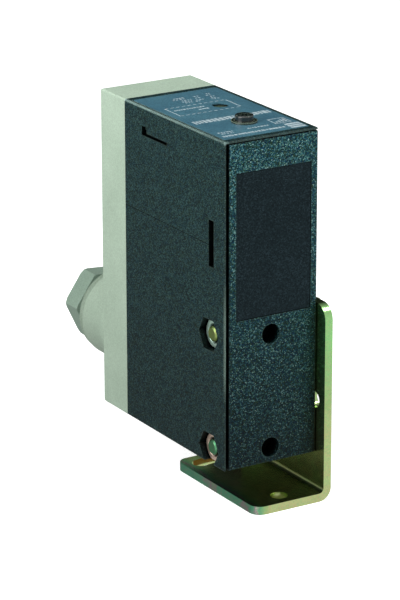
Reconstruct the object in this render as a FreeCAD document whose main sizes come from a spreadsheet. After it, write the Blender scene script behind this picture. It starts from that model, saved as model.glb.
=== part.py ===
import FreeCAD, Part
import os
import math
import Sketcher
from FreeCAD import Vector, Placement, Rotation

# Compact photoelectric sensor on an L bracket, millimetres.
# Row frame: origin on the underside of the bracket foot, midway between its
# two fixing holes. +Z up, the optical front faces -Y, the bracket's upright
# stands on the +X side and the cable gland leaves along +Y.

doc = FreeCAD.newDocument("PhotoelectricSensor")
sheet = doc.addObject("Spreadsheet::Sheet", "Dimensions")


class Dim(object):
    """A driving size: its value, and the expression that reads it."""

    def __init__(self, value, text):
        self.v = float(value)
        self.e = text

    def __add__(self, other):
        o = lift(other)
        return Dim(self.v + o.v, "(" + self.e + " + " + o.e + ")")

    def __radd__(self, other):
        return lift(other) + self

    def __sub__(self, other):
        o = lift(other)
        return Dim(self.v - o.v, "(" + self.e + " - " + o.e + ")")

    def __rsub__(self, other):
        return lift(other) - self

    def __mul__(self, other):
        o = lift(other)
        return Dim(self.v * o.v, "(" + self.e + " * " + o.e + ")")

    def __rmul__(self, other):
        return lift(other) * self

    def __truediv__(self, other):
        o = lift(other)
        return Dim(self.v / o.v, "(" + self.e + " / " + o.e + ")")

    def __neg__(self):
        return Dim(-self.v, "(0 - " + self.e + ")")


def lift(x):
    if isinstance(x, Dim):
        return x
    return Dim(x, "%.6f" % float(x))


row_number = [1]


def dim(alias, value):
    cell = "B%d" % row_number[0]
    sheet.set("A%d" % row_number[0], alias)
    sheet.set(cell, "%g" % value)
    sheet.setAlias(cell, alias)
    row_number[0] += 1
    return Dim(value, "Dimensions." + alias)


# ---- driving dimensions ---------------------------------------------------
house_w = dim("housing_width", 27.0)
house_h = dim("housing_height", 85.0)
body_d = dim("body_depth", 48.0)
cover_d = dim("cover_depth", 13.0)
wall = dim("wall_thickness", 2.0)
left_x = dim("housing_left", -16.5)
front_y = dim("housing_front", -15.5)
base_z = dim("housing_base", 12.0)
edge_r = dim("edge_radius", 0.45)
cover_edge_r = dim("cover_rear_edge_r", 1.2)

bezel_t = dim("bezel_thickness", 1.6)
bezel_in = dim("bezel_left_inset", 1.4)
bezel_top = dim("bezel_top_inset", 0.75)
lip_w = dim("left_lip_width", 0.4)
win_x0 = dim("window_left", 3.35)
win_x1 = dim("window_right", 25.1)
win_z0 = dim("window_bottom", 38.85)
win_z1 = dim("window_top", 76.65)
win_rec = dim("window_recess", 0.12)
gasket_t = dim("window_gasket_thickness", 0.6)

screw_y = dim("cross_screw_from_front", 7.5)
screw_z0 = dim("cross_screw_low", 4.0)
screw_pitch = dim("cross_screw_pitch", 30.0)
sleeve_bore = dim("cross_bore_radius", 2.2)
nut_af = dim("nut_across_flats", 7.0)
nut_rec_af = dim("nut_recess_across_flats", 8.0)
nut_t = dim("nut_thickness", 3.2)
nut_depth = dim("nut_outer_face_depth", 1.6)
front_hole_r = dim("front_hole_radius", 2.6)
front_hole_d = dim("front_hole_depth", 4.9)

strip_w = dim("bracket_width", 39.0)
steel_t = dim("bracket_thickness", 2.2)
foot_l = dim("bracket_foot_reach", 22.4)
upright_h = dim("bracket_height", 51.8)
bend_r = dim("bracket_inner_bend", 1.3)
up_corner = dim("upright_corner_radius", 4.0)
foot_corner = dim("foot_corner_radius", 3.0)
foot_pitch = dim("foot_hole_pitch", 30.0)
foot_hole_r = dim("foot_hole_radius", 2.25)
up_hole_r = dim("upright_hole_radius", 2.15)
spare_z = dim("spare_hole_height", 26.0)

gland_x = dim("gland_axis_from_left", 13.5)
gland_z = dim("gland_axis_height", 18.4)
boss_r = dim("gland_boss_radius", 12.0)
boss_l = dim("gland_boss_length", 13.3)
rim_r = dim("gland_rim_radius", 11.7)
rim_l = dim("gland_rim_length", 2.3)
chamber_r = dim("gland_chamber_radius", 7.9)
shank_r = dim("gland_shank_radius", 7.82)
cable_r = dim("cable_passage_radius", 5.3)
hex_af = dim("gland_hex_across_flats", 18.0)
hex_t = dim("gland_hex_thickness", 6.4)
hex_gap = dim("gland_open_gap", 4.0)
shank_l = dim("gland_shank_length", 10.7)

label_x0 = dim("label_left", 1.2)
label_x1 = dim("label_right", 25.5)
label_y0 = dim("label_front", 1.9)
label_y1 = dim("label_back", 45.7)
label_t = dim("label_thickness", 0.4)
label_rec = dim("label_recess", 0.35)
adj_x = dim("adjuster_from_left", 14.0)
adj_y = dim("adjuster_from_front", 13.5)
adj_ring_r = dim("adjuster_ring_radius", 3.3)
adj_bore_r = dim("adjuster_bore_radius", 2.4)
spindle_r = dim("spindle_radius", 2.35)
spindle_up = dim("spindle_stand_out", 1.95)
led_x = dim("led_from_left", 17.4)
led_y = dim("led_from_front", 30.1)
led_r = dim("led_window_radius", 2.2)

doc.recompute()

right_x = left_x + house_w
top_z = base_z + house_h
back_y = front_y + body_d
rear_y = back_y + cover_d
screw_row_y = front_y + screw_y
low_z = base_z + screw_z0
high_z = low_z + screw_pitch
seat_y = front_y + bezel_t            # where the bezel and window gasket sit
skin_y = seat_y + wall + 0.2          # inner face of the body's front wall
gx = left_x + gland_x
gz = base_z + gland_z
ax = left_x + adj_x
ay = front_y + adj_y
lx = left_x + led_x
ly = front_y + led_y

parts = []          # every sub-part, in order


def keep(obj, label):
    obj.Label = label
    parts.append(obj)
    return obj


# ---- sketch and feature helpers ------------------------------------------
def new_body(name):
    return doc.addObject("PartDesign::Body", name)


def plane_of(body, role):
    for f in body.Origin.OriginFeatures:
        if f.Role == role:
            return f
    raise RuntimeError(role)


def new_sketch(body, role, offset):
    """Normals: XY_Plane +Z, XZ_Plane -Y, YZ_Plane +X. A pocket cuts against
    the normal and a pad grows along it, unless reversed."""
    sk = body.newObject("Sketcher::SketchObject", body.Name + "_sketch")
    sk.AttachmentSupport = [(plane_of(body, role), "")]
    sk.MapMode = "FlatFace"
    o = lift(offset)
    sk.AttachmentOffset = Placement(Vector(0, 0, o.v), Rotation())
    sk.setExpression("AttachmentOffset.Base.z", o.e)
    return sk


def drive(sk, index, value):
    sk.setExpression("Constraints[%d]" % index, lift(value).e)


def rect(sk, x0, x1, y0, y1):
    x0, x1, y0, y1 = lift(x0), lift(x1), lift(y0), lift(y1)
    p = [Vector(x0.v, y0.v, 0), Vector(x1.v, y0.v, 0), Vector(x1.v, y1.v, 0), Vector(x0.v, y1.v, 0)]
    g = [sk.addGeometry(Part.LineSegment(p[i], p[(i + 1) % 4]), False) for i in range(4)]
    for i in range(4):
        sk.addConstraint(Sketcher.Constraint("Coincident", g[i], 2, g[(i + 1) % 4], 1))
    sk.addConstraint(Sketcher.Constraint("Horizontal", g[0]))
    sk.addConstraint(Sketcher.Constraint("Vertical", g[1]))
    sk.addConstraint(Sketcher.Constraint("Horizontal", g[2]))
    sk.addConstraint(Sketcher.Constraint("Vertical", g[3]))
    for kind, geo, val in (("DistanceX", g[0], x0), ("DistanceX", g[1], x1), ("DistanceY", g[0], y0), ("DistanceY", g[2], y1)):
        c = sk.addConstraint(Sketcher.Constraint(kind, -1, 1, geo, 1, val.v))
        drive(sk, c, val)


def circle(sk, x, y, r):
    x, y, r = lift(x), lift(y), lift(r)
    g = sk.addGeometry(Part.Circle(Vector(x.v, y.v, 0), Vector(0, 0, 1), r.v), False)
    c = sk.addConstraint(Sketcher.Constraint("Radius", g, r.v))
    drive(sk, c, r)
    for kind, val in (("DistanceX", x), ("DistanceY", y)):
        c = sk.addConstraint(Sketcher.Constraint(kind, -1, 1, g, 3, val.v))
        drive(sk, c, val)


def poly(sk, points):
    """Closed polygon, every corner placed from the sketch origin."""
    pts = [(lift(a), lift(b)) for a, b in points]
    n = len(pts)
    vec = [Vector(a.v, b.v, 0) for a, b in pts]
    g = [sk.addGeometry(Part.LineSegment(vec[i], vec[(i + 1) % n]), False) for i in range(n)]
    for i in range(n):
        sk.addConstraint(Sketcher.Constraint("Coincident", g[i], 2, g[(i + 1) % n], 1))
    for i in range(n):
        for kind, val in (("DistanceX", pts[i][0]), ("DistanceY", pts[i][1])):
            c = sk.addConstraint(Sketcher.Constraint(kind, -1, 1, g[i], 1, val.v))
            drive(sk, c, val)


def hexagon(sk, x, y, across, turn=0.0):
    """Regular hexagon, a corner at turn degrees from the sketch's first axis."""
    r = lift(across) * (1.0 / math.sqrt(3.0))
    x, y = lift(x), lift(y)
    corners = [math.radians(turn + 60.0 * i) for i in range(6)]
    poly(sk, [(x + r * math.cos(a), y + r * math.sin(a)) for a in corners])


def pad(body, sk, length, reverse=False):
    f = body.newObject("PartDesign::Pad", body.Name + "_pad")
    f.Profile = sk
    f.setExpression("Length", lift(length).e)
    f.Length = lift(length).v
    f.Reversed = reverse
    before = body.Shape.Volume if not body.Shape.isNull() else 0.0
    doc.recompute()
    if body.Shape.isNull() or body.Shape.Volume <= before:
        raise RuntimeError("pad added nothing: " + f.Name)
    return f


def pocket(body, sk, length, reverse=False):
    before = body.Shape.Volume
    f = body.newObject("PartDesign::Pocket", body.Name + "_pocket")
    f.Profile = sk
    f.setExpression("Length", lift(length).e)
    f.Length = lift(length).v
    f.Reversed = reverse
    doc.recompute()
    if body.Shape.Volume >= before - 1e-6:
        raise RuntimeError("pocket cut nothing: " + f.Name)
    return f


def edges_where(shape, test):
    names = []
    for i, e in enumerate(shape.Edges):
        b = e.BoundBox
        if test(e, b):
            names.append("Edge%d" % (i + 1))
    return names


def dress(body, kind, names, size):
    base = body.Tip
    f = body.newObject("PartDesign::" + kind, body.Name + "_" + kind.lower())
    f.Base = (base, names)
    prop = "Radius" if kind == "Fillet" else "Size"
    f.setExpression(prop, lift(size).e)
    setattr(f, prop, lift(size).v)
    doc.recompute()
    if f.State and ("Invalid" in f.State or "Error" in f.State):
        raise RuntimeError(kind + " failed on " + body.Name)
    return f


def near(a, b, tol=0.02):
    return abs(a - b) < tol


def along(b, axis):
    spans = {"x": (b.YLength, b.ZLength), "y": (b.XLength, b.ZLength), "z": (b.XLength, b.YLength)}
    return spans[axis][0] < 0.01 and spans[axis][1] < 0.01


# ---- primitive helpers ----------------------------------------------------
def bind(obj, prop, value):
    setattr(obj, prop, lift(value).v)
    obj.setExpression(prop, lift(value).e)


def place(obj, x, y, z, rot=None):
    x, y, z = lift(x), lift(y), lift(z)
    obj.Placement = Placement(Vector(x.v, y.v, z.v), rot or Rotation())
    obj.setExpression("Placement.Base.x", x.e)
    obj.setExpression("Placement.Base.y", y.e)
    obj.setExpression("Placement.Base.z", z.e)
    return obj


def box(name, x0, x1, y0, y1, z0, z1):
    o = doc.addObject("Part::Box", name)
    bind(o, "Length", lift(x1) - x0)
    bind(o, "Width", lift(y1) - y0)
    bind(o, "Height", lift(z1) - z0)
    return place(o, x0, y0, z0)


TURN = {"z": Rotation(), "x": Rotation(Vector(0, 1, 0), 90), "y": Rotation(Vector(1, 0, 0), -90)}


def cyl(name, r, length, x, y, z, axis="z"):
    """Cylinder from (x, y, z) towards +axis."""
    o = doc.addObject("Part::Cylinder", name)
    bind(o, "Radius", r)
    bind(o, "Height", length)
    return place(o, x, y, z, TURN[axis])


def cone(name, r1, r2, length, x, y, z, axis="z"):
    o = doc.addObject("Part::Cone", name)
    bind(o, "Radius1", r1)
    bind(o, "Radius2", r2)
    bind(o, "Height", length)
    return place(o, x, y, z, TURN[axis])


def cut(name, base, tools):
    tool = tools[0]
    if len(tools) > 1:
        tool = doc.addObject("Part::MultiFuse", name + "_tools")
        tool.Shapes = tools
    o = doc.addObject("Part::Cut", name)
    o.Base = base
    o.Tool = tool
    return o


def fuse(name, shapes):
    o = doc.addObject("Part::MultiFuse", name)
    o.Shapes = shapes
    o.Refine = True
    return o


def compound(name, links):
    o = doc.addObject("Part::Compound", name)
    o.Links = links
    return o


# ==== body shell ===========================================================
body = new_body("BodyShell")
s = new_sketch(body, "XZ_Plane", -front_y)
rect(s, left_x, right_x, base_z, top_z)
pad(body, s, body_d, reverse=True)                      # towards +Y
# long outer edges and the edges round the front
names = edges_where(body.Shape, lambda e, b: along(b, "y") or (near(b.YMin, front_y.v) and near(b.YMax, front_y.v)))
dress(body, "Fillet", names, edge_r)

# wiring space, open at the back
s = new_sketch(body, "XZ_Plane", -back_y)
rect(s, left_x + wall, right_x - wall, base_z + wall, top_z - wall)
pocket(body, s, back_y - skin_y, reverse=True)

# cross walls that carry the two through bores
s = new_sketch(body, "YZ_Plane", left_x + 1.0)
rect(s, skin_y - 0.5, screw_row_y + 5.0, base_z + 1.0, low_z + 4.8)
rect(s, skin_y - 0.5, screw_row_y + 5.0, high_z - 4.8, high_z + 4.8)
pad(body, s, house_w - 2.0)

# seat for the front bezel: the left lip and the top lip stay
s = new_sketch(body, "XZ_Plane", -front_y)
rect(s, left_x + lip_w, right_x + 1.0, base_z - 1.0, top_z - bezel_top + 0.25)
pocket(body, s, bezel_t)

# optical opening and the groove for the window gasket
s = new_sketch(body, "XZ_Plane", -seat_y)
rect(s, left_x + win_x0 + 2.2, left_x + win_x1 - 2.2, base_z + win_z0 + 2.2, base_z + win_z1 - 2.2)
pocket(body, s, 4.0)
s = new_sketch(body, "XZ_Plane", -seat_y)
rect(s, left_x + win_x0 + 0.5, left_x + win_x1 - 0.5, base_z + win_z0 + 0.5, base_z + win_z1 - 0.5)
pocket(body, s, gasket_t)

# front fixing holes, blind
s = new_sketch(body, "XZ_Plane", -seat_y)
circle(s, left_x + house_w * 0.5, low_z, front_hole_r)
circle(s, left_x + house_w * 0.5, high_z, front_hole_r)
pocket(body, s, front_hole_d - bezel_t)

# through bores along X, and the hexagonal nut recesses on the left
s = new_sketch(body, "YZ_Plane", left_x)
circle(s, screw_row_y, low_z, sleeve_bore)
circle(s, screw_row_y, high_z, sleeve_bore)
pocket(body, s, house_w, reverse=True)
s = new_sketch(body, "YZ_Plane", left_x)
hexagon(s, screw_row_y, low_z, nut_rec_af)
hexagon(s, screw_row_y, high_z, nut_rec_af)
pocket(body, s, nut_depth + nut_t, reverse=True)

# long vertical slot and the small L slot in the left wall
s = new_sketch(body, "YZ_Plane", left_x)
rect(s, front_y + 5.0, front_y + 7.4, base_z + 51.9, base_z + 63.85)
pocket(body, s, 1.6, reverse=True)
s = new_sketch(body, "YZ_Plane", left_x)
poly(s, [(front_y + 27.2, base_z + 77.65), (front_y + 39.5, base_z + 77.65), (front_y + 39.5, base_z + 80.05),
         (front_y + 37.1, base_z + 80.05), (front_y + 37.1, base_z + 78.45), (front_y + 27.2, base_z + 78.45)])
pocket(body, s, 1.6, reverse=True)
# hairline parting groove between the slot and the back
s = new_sketch(body, "YZ_Plane", left_x)
rect(s, front_y + 7.3, back_y + 1.0, base_z + 57.33, base_z + 57.47)
pocket(body, s, 0.12, reverse=True)

# recess for the label plate, and the two openings through the top wall
s = new_sketch(body, "XY_Plane", top_z)
rect(s, left_x + label_x0 - 0.15, left_x + label_x1 + 0.15, front_y + label_y0 - 0.15, front_y + label_y1 + 0.15)
pocket(body, s, label_rec)
s = new_sketch(body, "XY_Plane", top_z)
circle(s, ax, ay, adj_ring_r - 0.4)
circle(s, lx, ly, led_r)
pocket(body, s, 4.0)

# corner posts for the rear cover screws
post = []
for px in (left_x + 3.5, right_x - 3.5):
    for pz in (base_z + 3.5, top_z - 3.5):
        post.append((px, pz))
s = new_sketch(body, "XZ_Plane", -back_y)
for px, pz in post:
    rect(s, px - 2.6, px + 2.6, pz - 2.6, pz + 2.6)
pad(body, s, 11.0, reverse=False)
s = new_sketch(body, "XZ_Plane", -back_y)
for px, pz in post:
    circle(s, px, pz, 1.55)
pocket(body, s, 9.5, reverse=True)
keep(body, "body_shell")

# ==== front bezel ==========================================================
bz = new_body("FrontBezel")
s = new_sketch(bz, "XZ_Plane", -front_y)
rect(s, left_x + bezel_in, right_x, base_z, top_z - bezel_top)
pad(bz, s, bezel_t, reverse=True)
names = edges_where(bz.Shape, lambda e, b: near(b.YMin, front_y.v) and near(b.YMax, front_y.v))
names += edges_where(bz.Shape, lambda e, b: along(b, "y") and near(b.XMax, right_x.v))
dress(bz, "Fillet", names, 0.45)
s = new_sketch(bz, "XZ_Plane", -front_y)
rect(s, left_x + win_x0, left_x + win_x1, base_z + win_z0, base_z + win_z1)
pocket(bz, s, bezel_t)
s = new_sketch(bz, "XZ_Plane", -front_y)
circle(s, left_x + house_w * 0.5, low_z, front_hole_r)
circle(s, left_x + house_w * 0.5, high_z, front_hole_r)
pocket(bz, s, bezel_t)
keep(bz, "front_bezel")

# ==== filter window and its gasket ========================================
fw = new_body("FilterWindow")
s = new_sketch(fw, "XZ_Plane", -(front_y + win_rec))
rect(s, left_x + win_x0 + 0.06, left_x + win_x1 - 0.06, base_z + win_z0 + 0.06, base_z + win_z1 - 0.06)
pad(fw, s, bezel_t - win_rec, reverse=True)
names = edges_where(fw.Shape, lambda e, b: near(b.YMax, front_y.v + win_rec.v))
dress(fw, "Chamfer", names, 0.12)
keep(fw, "filter_window")

g_out = box("GasketOuter", left_x + win_x0 + 0.55, left_x + win_x1 - 0.55, seat_y, seat_y + gasket_t,
            base_z + win_z0 + 0.55, base_z + win_z1 - 0.55)
g_in = box("GasketInner", left_x + win_x0 + 2.2, left_x + win_x1 - 2.2, seat_y - 1, seat_y + gasket_t + 1,
           base_z + win_z0 + 2.2, base_z + win_z1 - 2.2)
keep(cut("WindowGasket", g_out, [g_in]), "window_gasket")

# ==== optics ===============================================================
opt_x0 = left_x + 3.2
opt_x1 = right_x - 3.2
opt_z0 = base_z + 40.4
opt_z1 = base_z + 75.6
opt_cx = left_x + house_w * 0.5
emit_z = base_z + 49.2
recv_z = base_z + 66.8
lens_y = skin_y + 0.2
lens_t = 1.6
lp = box("LensSheet", opt_x0, opt_x1, lens_y, lens_y + lens_t, opt_z0, opt_z1)


def lens_cap(name, z):
    """Convex face of one lens: the part of a ball that stands out of the sheet."""
    ball = doc.addObject("Part::Sphere", name + "_ball")
    bind(ball, "Radius", 14.0)
    place(ball, opt_cx, lens_y + lens_t + 11.6, z)
    tube = cyl(name + "_tube", 7.6, 4.0, opt_cx, lens_y + lens_t - 2.5, z, "y")
    c = doc.addObject("Part::MultiCommon", name)
    c.Shapes = [ball, tube]
    return c


chassis_y0 = lens_y + lens_t
chassis_y1 = chassis_y0 + 15.9
lens = fuse("LensPlate", [lp, lens_cap("EmitterLens", emit_z), lens_cap("ReceiverLens", recv_z)])
lens_trim = box("LensTrim", opt_x0 - 1, opt_x1 + 1, chassis_y0, chassis_y0 + 6, opt_z0 - 1, opt_z1 + 1)
keep(cut("LensPlateTrimmed", lens, [lens_trim]), "lens_plate")

ch = box("ChassisBlock", opt_x0, opt_x1, chassis_y0, chassis_y1, opt_z0, opt_z1)
keep(cut("OpticsChassis", ch, [
    cone("EmitterThroat", 8.0, 3.6, 15.92, opt_cx, chassis_y0 - 0.01, emit_z, "y"),
    cone("ReceiverThroat", 8.0, 5.2, 15.92, opt_cx, chassis_y0 - 0.01, recv_z, "y"),
    box("ChassisSideL", opt_x0 - 1, opt_x0 + 1.2, chassis_y0 + 3, chassis_y1 - 3, opt_z0 - 1, opt_z1 + 1),
    box("ChassisSideR", opt_x1 - 1.2, opt_x1 + 1, chassis_y0 + 3, chassis_y1 - 3, opt_z0 - 1, opt_z1 + 1)]),
    "optics_chassis")

keep(box("OpticsBoard", opt_x0, opt_x1, chassis_y1, chassis_y1 + 1.2, opt_z0, opt_z1), "optics_board")

# emitter: 3 mm dome on a collar, pointing to the front
em_a = cyl("EmitterCollar", 1.9, 1.0, opt_cx, chassis_y1 - 1.0, emit_z, "y")
em_b = cyl("EmitterBarrel", 1.5, 2.4, opt_cx, chassis_y1 - 3.2, emit_z, "y")
em_c = doc.addObject("Part::Sphere", "EmitterDome")
bind(em_c, "Radius", 1.5)
place(em_c, opt_cx, chassis_y1 - 3.2, emit_z)
keep(fuse("EmitterLed", [em_a, em_b, em_c]), "emitter_led")
keep(box("Photodiode", opt_cx - 2.0, opt_cx + 2.0, chassis_y1 - 1.6, chassis_y1, recv_z - 2.4, recv_z + 2.4), "receiver_photodiode")
sh_o = box("ShieldOuter", opt_cx - 3.1, opt_cx + 3.1, chassis_y1 - 2.6, chassis_y1, recv_z - 3.3, recv_z + 3.3)
sh_i = box("ShieldInner", opt_cx - 2.8, opt_cx + 2.8, chassis_y1 - 2.3, chassis_y1 + 1, recv_z - 3.0, recv_z + 3.0)
sh_w = cyl("ShieldWindow", 1.9, 3.0, opt_cx, chassis_y1 - 4.0, recv_z, "y")
keep(cut("ReceiverShield", sh_o, [sh_i, sh_w]), "receiver_shield")

# ==== boards and electronics ==============================================
brd_x = left_x + 4.0
main_x1 = brd_x + 1.6
board_y0 = chassis_y1 + 2.2
keep(box("MainBoard", brd_x, main_x1, board_y0, back_y - 1.8, base_z + 9.0, opt_z1), "main_board")
hd = box("HeaderBlock", main_x1, main_x1 + 3.2, chassis_y1 + 1.2, board_y0 + 2.5, base_z + 55.0, base_z + 67.0)
keep(hd, "board_header")
rl = box("RelayCase", main_x1 + 0.4, main_x1 + 10.4, board_y0 + 3.0, board_y0 + 18.0, base_z + 43.5, base_z + 53.5)
rl_f = box("RelayFoot", main_x1, main_x1 + 0.4, board_y0 + 4.0, board_y0 + 17.0, base_z + 44.5, base_z + 52.5)
keep(fuse("OutputRelay", [rl, rl_f]), "output_relay")
cp = cyl("CapacitorCan", 4.0, 11.5, main_x1, board_y0 + 8.0, base_z + 61.0, "x")
keep(cp, "reservoir_capacitor")
keep(cyl("VaristorDisc", 4.2, 3.6, main_x1, board_y0 + 17.0, base_z + 61.0, "x"), "surge_varistor")

# small board under the top wall: adjuster and indicator
tb_z = opt_z1 + 0.4
keep(cut("TopBoard", box("TopBoardSheet", opt_x0, opt_x1, front_y + 6.0, front_y + 36.0, tb_z, tb_z + 1.0),
         [cyl("TopBoardHole", 1.2, 3.0, ax, ay, tb_z - 1)]), "top_board")
pot_z1 = tb_z + 1.0 + 3.6
pot_a = box("PotCase", ax - 3.3, ax + 3.3, ay - 3.3, ay + 3.3, tb_z + 1.0, pot_z1)
pot_b = cyl("PotNeck", 2.4, 0.5, ax, ay, pot_z1)
pot_c = cyl("PotSocket", 1.05, 3.2, ax, ay, pot_z1 - 2.6)
keep(cut("Potentiometer", fuse("PotBlock", [pot_a, pot_b]), [pot_c]), "potentiometer_body")
ld_a = cyl("IndicatorCollar", 1.9, 0.8, lx, ly, tb_z + 1.0)
ld_b = cyl("IndicatorBarrel", 1.5, 2.2, lx, ly, tb_z + 1.4)
ld_c = doc.addObject("Part::Sphere", "IndicatorDome")
bind(ld_c, "Radius", 1.5)
place(ld_c, lx, ly, tb_z + 3.6)
keep(fuse("IndicatorLed", [ld_a, ld_b, ld_c]), "indicator_led")

# ==== terminals ============================================================
tb_x0 = main_x1
tb_x1 = main_x1 + 11.0
tb_y0 = back_y - 13.0
tb_y1 = back_y + 1.5
tb_z0 = base_z + 12.0
way = 5.4
blk = box("TerminalCase", tb_x0, tb_x1, tb_y0, tb_y1, tb_z0, tb_z0 + 5 * way)
holes = []
screws = []
for i in range(5):
    cz = tb_z0 + (i + 0.5) * way
    holes.append(cyl("TermWell%d" % i, 2.0, 7.0, tb_x0 + 4.2, tb_y1 - 7.0, cz, "y"))
    holes.append(box("TermEntry%d" % i, tb_x0 + 7.4, tb_x0 + 10.0, tb_y1 - 8.0, tb_y1 + 1, cz - 1.4, cz + 1.4))
    slot = box("TermSlot%d" % i, tb_x0 + 1.6, tb_x0 + 6.8, tb_y1 - 2.6, tb_y1 - 1.0, cz - 0.35, cz + 0.35)
    screws.append(cut("TermScrew%d" % i, cyl("TermStem%d" % i, 1.85, 5.3, tb_x0 + 4.2, tb_y1 - 7.0, cz, "y"), [slot]))
keep(cut("TerminalBlock", blk, holes), "terminal_block")
keep(compound("TerminalScrews", screws), "terminal_screws")

# ==== top: label plate, window, adjuster ==================================
lb = new_body("LabelPlate")
s = new_sketch(lb, "XY_Plane", top_z - label_rec)
rect(s, left_x + label_x0, left_x + label_x1, front_y + label_y0, front_y + label_y1)
pad(lb, s, label_t)
names = edges_where(lb.Shape, lambda e, b: along(b, "z"))
dress(lb, "Fillet", names, 0.5)
s = new_sketch(lb, "XY_Plane", top_z + label_t)
circle(s, ax, ay, adj_ring_r)
circle(s, lx, ly, led_r)
pocket(lb, s, 3.0)
keep(lb, "label_plate")

lw_a = cyl("LedWindowBarrel", led_r - 0.05, wall + 0.15, lx, ly, top_z - wall - 0.8)
lw_b = cyl("LedWindowFlange", led_r + 0.5, 0.8, lx, ly, top_z - wall - 0.8)
keep(fuse("LedWindow", [lw_a, lw_b]), "led_window")

rg_a = cyl("RingFlange", adj_ring_r, 0.85, ax, ay, top_z - label_rec)
rg_b = cyl("RingBarrel", adj_ring_r - 0.45, wall + 0.6, ax, ay, top_z - label_rec - wall - 0.6)
rg_f = doc.addObject("Part::Cut", "AdjusterRing")
rg_f.Base = fuse("RingBlank", [rg_a, rg_b])
rg_f.Tool = cyl("RingBore", adj_bore_r, 8.0, ax, ay, top_z - 5.0)
keep(rg_f, "adjuster_ring")

sp = new_body("Spindle")
s = new_sketch(sp, "XY_Plane", top_z - 2.4)
circle(s, ax, ay, spindle_r)
pad(sp, s, spindle_up + 2.4)
s = new_sketch(sp, "XY_Plane", top_z - 2.4)
circle(s, ax, ay, 1.0)
pad(sp, s, top_z - 2.4 - (pot_z1 - 2.3), reverse=True)
names = edges_where(sp.Shape, lambda e, b: near(b.ZMin, top_z.v + spindle_up.v) and near(b.ZMax, top_z.v + spindle_up.v))
dress(sp, "Fillet", names, 0.35)
s = new_sketch(sp, "XY_Plane", top_z + spindle_up)
poly(s, [(ax - 0.45, ay - 1.9), (ax + 0.45, ay - 1.9), (ax + 0.45, ay - 0.45), (ax + 1.9, ay - 0.45),
         (ax + 1.9, ay + 0.45), (ax + 0.45, ay + 0.45), (ax + 0.45, ay + 1.9), (ax - 0.45, ay + 1.9),
         (ax - 0.45, ay + 0.45), (ax - 1.9, ay + 0.45), (ax - 1.9, ay - 0.45), (ax - 0.45, ay - 0.45)])
pocket(sp, s, 1.1)
keep(sp, "sensitivity_spindle")

# ==== rear cover with the gland boss ======================================
rc = new_body("RearCover")
s = new_sketch(rc, "XZ_Plane", -back_y)
rect(s, left_x, right_x, base_z, top_z)
pad(rc, s, cover_d, reverse=True)
names = edges_where(rc.Shape, lambda e, b: near(b.YMin, rear_y.v, 0.05) and near(b.YMax, rear_y.v, 0.05))
dress(rc, "Fillet", names, cover_edge_r)
names = edges_where(rc.Shape, lambda e, b: b.YLength > 9 and b.XLength < 0.01 and b.ZLength < 0.01)
dress(rc, "Fillet", names, edge_r)
s = new_sketch(rc, "XZ_Plane", -rear_y)
circle(s, gx, gz, boss_r)
pad(rc, s, boss_l, reverse=True)
s = new_sketch(rc, "XZ_Plane", -(rear_y + boss_l))
circle(s, gx, gz, rim_r)
pad(rc, s, rim_l, reverse=True)
mouth_y = rear_y + boss_l + rim_l
names = edges_where(rc.Shape, lambda e, b: near(b.YMin, mouth_y.v) and near(b.YMax, mouth_y.v))
dress(rc, "Fillet", names, 0.4)
names = edges_where(rc.Shape, lambda e, b: near(b.YMin, rear_y.v + boss_l.v) and near(b.YMax, rear_y.v + boss_l.v) and near(b.XLength, 2 * boss_r.v, 0.05))
dress(rc, "Fillet", names, 0.2)
# wiring space, gland chamber, cable passage
s = new_sketch(rc, "XZ_Plane", -back_y)
rect(s, left_x + wall + 0.3, right_x - wall - 0.3, base_z + wall + 0.3, top_z - wall - 0.3)
pocket(rc, s, cover_d - wall)
s = new_sketch(rc, "XZ_Plane", -mouth_y)
circle(s, gx, gz, chamber_r)
pocket(rc, s, boss_l + rim_l, reverse=True)
s = new_sketch(rc, "XZ_Plane", -mouth_y)
circle(s, gx, gz, cable_r)
pocket(rc, s, boss_l + rim_l + 4.0, reverse=True)
# posts for the cover screws, with counterbores for the heads
s = new_sketch(rc, "XZ_Plane", -(back_y + 0.0))
for px, pz in post:
    rect(s, px - 2.6, px + 2.6, pz - 2.6, pz + 2.6)
pad(rc, s, cover_d - 1.0, reverse=True)
s = new_sketch(rc, "XZ_Plane", -rear_y)
for px, pz in post:
    circle(s, px, pz, 1.65)
pocket(rc, s, cover_d, reverse=True)
s = new_sketch(rc, "XZ_Plane", -rear_y)
for px, pz in post:
    circle(s, px, pz, 2.45)
pocket(rc, s, 3.0, reverse=True)
# gasket groove round the open face
s = new_sketch(rc, "XZ_Plane", -back_y)
rect(s, left_x + 0.7, right_x - 0.7, base_z + 0.7, top_z - 0.7)
rect(s, left_x + 1.7, right_x - 1.7, base_z + 1.7, top_z - 1.7)
pocket(rc, s, 0.9)
grooves = []
for i in range(3):
    gy = mouth_y - 0.75 - 0.65 * i
    grooves.append(cut("RimGroove%d" % i, cyl("RimGrooveOut%d" % i, boss_r + 1.0, 0.28, gx, gy, gz, "y"),
                       [cyl("RimGrooveIn%d" % i, rim_r - 0.4, 1.0, gx, gy - 0.3, gz, "y")]))
keep(cut("RearCoverGrooved", rc, grooves), "rear_cover")

cg_o = box("CoverGasketOuter", left_x + 0.72, right_x - 0.72, back_y, back_y + 0.88, base_z + 0.72, top_z - 0.72)
cg_i = box("CoverGasketInner", left_x + 1.68, right_x - 1.68, back_y - 1, back_y + 2, base_z + 1.68, top_z - 1.68)
keep(cut("CoverGasket", cg_o, [cg_i]), "cover_gasket")

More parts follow.
